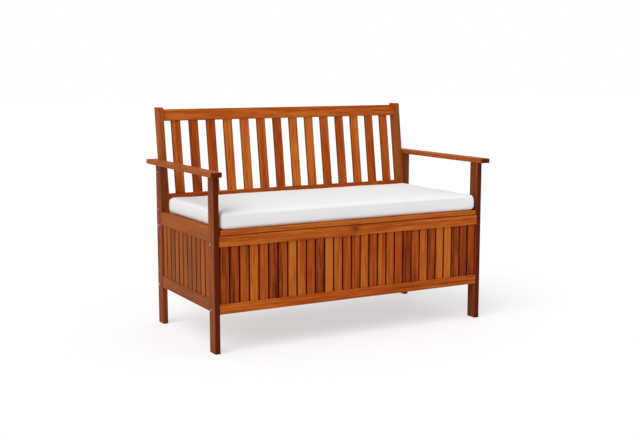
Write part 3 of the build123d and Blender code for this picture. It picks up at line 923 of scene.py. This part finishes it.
def wrinkle_cover(piece, settings):
    """Soft hollows over the top and short creases in from the edges, worked along the cover's normals."""
    size = CUSHION_HIGH - CUSHION_LOW
    middle = (CUSHION_LOW + CUSHION_HIGH) / 2
    normals = [vertex.normal.copy() for vertex in piece.data.vertices]
    for vertex, normal in zip(piece.data.vertices, normals):
        spot = vertex.co
        if spot.z < CUSHION_LOW.z + FLAT_REACH:
            continue
        edge_x = abs(spot.x - middle.x) / (size.x / 2)
        edge_y = abs(spot.y - middle.y) / (size.y / 2)
        near_edge = max(edge_x ** EDGE_POWERS[0], edge_y ** EDGE_POWERS[1])
        hollows = HOLLOW_SHARE * ripple(spot, HOLLOW_WAVES)
        creases = CREASE_SHARE * near_edge * ripple(spot, CREASE_WAVES, CREASE_SHIFT)
        vertex.co = spot + normal * (settings.wrinkle * (hollows + creases))
        vertex.co.z = max(vertex.co.z, CUSHION_LOW.z)


class BENCH_OT_cushion(bpy.types.Operator):
    """Make the padded seat cushion in place of its plain solid"""
    bl_idname = "bench.cushion"
    bl_label = "Fill the cushion"

    def execute(self, context):
        settings = context.scene.bench_cushion
        cover = cushion_start(settings)
        crown_cover(cover, settings)
        fill_cover(cover, settings)
        wrinkle_cover(cover, settings)
        for face in cover.data.polygons:
            face.use_smooth = True
        finer = cover.modifiers.new("Finer", "SUBSURF")
        finer.levels = 1
        finer.render_levels = 1
        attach(cover, "cushion")
        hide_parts("seat_cushion")
        return {"FINISHED"}


# Stage

def seen_directly(shader):
    """1 where the camera sees a thing itself, in a reflection or through glass."""
    rays = ("Is Camera Ray", "Is Glossy Ray", "Is Transmission Ray")
    seen = [shader.node("ShaderNodeLightPath", {}, {}, ray) for ray in rays]
    return (seen[0] + seen[1] + seen[2]).clamped()


def floor_paint(light):
    """A pale floor that fades to white around the shadow, for the light that falls on it."""
    shader = Shader("floor_paint")
    matt = shader.node("ShaderNodeBsdfDiffuse", {}, {"Color": solid(FLOOR_GREY)})
    matt_brightness = (1 - FLOOR_GLOW_SHARE) * FLOOR_GREY[0] * light
    glow = (FLOOR_BRIGHTNESS - matt_brightness) / FLOOR_GLOW_SHARE
    lit = shader.node("ShaderNodeEmission", {}, {"Color": solid(WHITE), "Strength": glow})
    share = seen_directly(shader) * FLOOR_GLOW_SHARE
    both = shader.node("ShaderNodeMixShader", {}, {0: share, 1: matt, 2: lit})
    shader.node("ShaderNodeOutputMaterial", {}, {"Surface": both})
    return shader.material


def lay_floor(light):
    """A wide floor under the legs."""
    shape = bmesh.new()
    bmesh.ops.create_grid(shape, x_segments=1, y_segments=1, size=FLOOR_SIZE)
    ground = new_piece("floor", shape, floor_paint(light))
    if ground.data.polygons[0].normal.z < 0:
        ground.data.flip_normals()


def hang_lights(settings):
    """An even white surround and one soft sun from the left, the front and above."""
    world = bpy.data.worlds.new("surround")
    world.use_nodes = True
    bpy.context.scene.world = world
    shader = Shader("surround", world.node_tree)
    strength = seen_directly(shader) * (1.0 - settings.sky) + settings.sky
    white = shader.node("ShaderNodeBackground", {}, {"Color": solid(WHITE), "Strength": strength})
    shader.node("ShaderNodeOutputWorld", {}, {"Surface": white})
    lamp = bpy.data.lights.new("soft_sun", "SUN")
    lamp.energy = settings.sun
    lamp.angle = settings.sun_spread
    sun = bpy.data.objects.new("soft_sun", lamp)
    sun.rotation_euler = SUN_FROM.to_track_quat("Z", "Y").to_euler()
    bpy.context.scene.collection.objects.link(sun)


def stand_camera(settings):
    """The camera at the photograph's viewing angle."""
    lens = bpy.data.cameras.new("viewpoint")
    lens.lens = settings.lens
    lens.sensor_width = FILM_WIDTH
    lens.sensor_fit = "HORIZONTAL"
    lens.clip_end = SIGHT_END
    camera = bpy.data.objects.new("viewpoint", lens)
    camera.location = settings.camera_place
    camera.rotation_euler = Euler((math.pi / 2 - settings.camera_dip, 0.0, -settings.camera_yaw))
    bpy.context.scene.collection.objects.link(camera)
    bpy.context.scene.camera = camera


class BENCH_OT_stage(bpy.types.Operator):
    """Lay the floor, hang the light and stand the camera"""
    bl_idname = "bench.stage"
    bl_label = "Set the stage"

    def execute(self, context):
        settings = context.scene.bench_stage
        lay_floor(settings.sky + settings.sun * SUN_FROM.z / math.pi)
        hang_lights(settings)
        stand_camera(settings)
        context.scene.view_settings.view_transform = "Standard"
        return {"FINISHED"}


class BENCH_PT_panel(bpy.types.Panel):
    """Lists the steps that dress the bench"""
    bl_idname = "BENCH_PT_panel"
    bl_label = "Garden storage bench"
    bl_space_type = "VIEW_3D"
    bl_region_type = "UI"
    bl_category = "Bench"

    def draw(self, context):
        for step in STEPS:
            self.layout.operator(step.bl_idname)


STEPS = (BENCH_OT_frame_timber, BENCH_OT_slat_timber, BENCH_OT_lid_timber, BENCH_OT_hinge_steel,
         BENCH_OT_hinge_screws, BENCH_OT_bolts, BENCH_OT_cushion, BENCH_OT_stage)
SETTINGS = {"bench_wood": BenchWood, "bench_fittings": BenchFittings, "bench_cushion": BenchCushion,
            "bench_stage": BenchStage}


def register():
    """Make the settings, steps and panel known to Blender."""
    for kind in (*SETTINGS.values(), *STEPS, BENCH_PT_panel):
        bpy.utils.register_class(kind)
    for name, kind in SETTINGS.items():
        setattr(bpy.types.Scene, name, PointerProperty(type=kind))


def unregister():
    """Take the settings, steps and panel out of Blender again."""
    for name in SETTINGS:
        delattr(bpy.types.Scene, name)
    for kind in (BENCH_PT_panel, *STEPS, *SETTINGS.values()):
        bpy.utils.unregister_class(kind)


def main():
    """Dress the bench step by step."""
    register()
    bpy.ops.bench.frame_timber()
    bpy.ops.bench.slat_timber()
    bpy.ops.bench.lid_timber()
    bpy.ops.bench.hinge_steel()
    bpy.ops.bench.hinge_screws()
    bpy.ops.bench.bolts()
    bpy.ops.bench.cushion()
    bpy.ops.bench.stage()


if __name__ == "__main__":
    main()
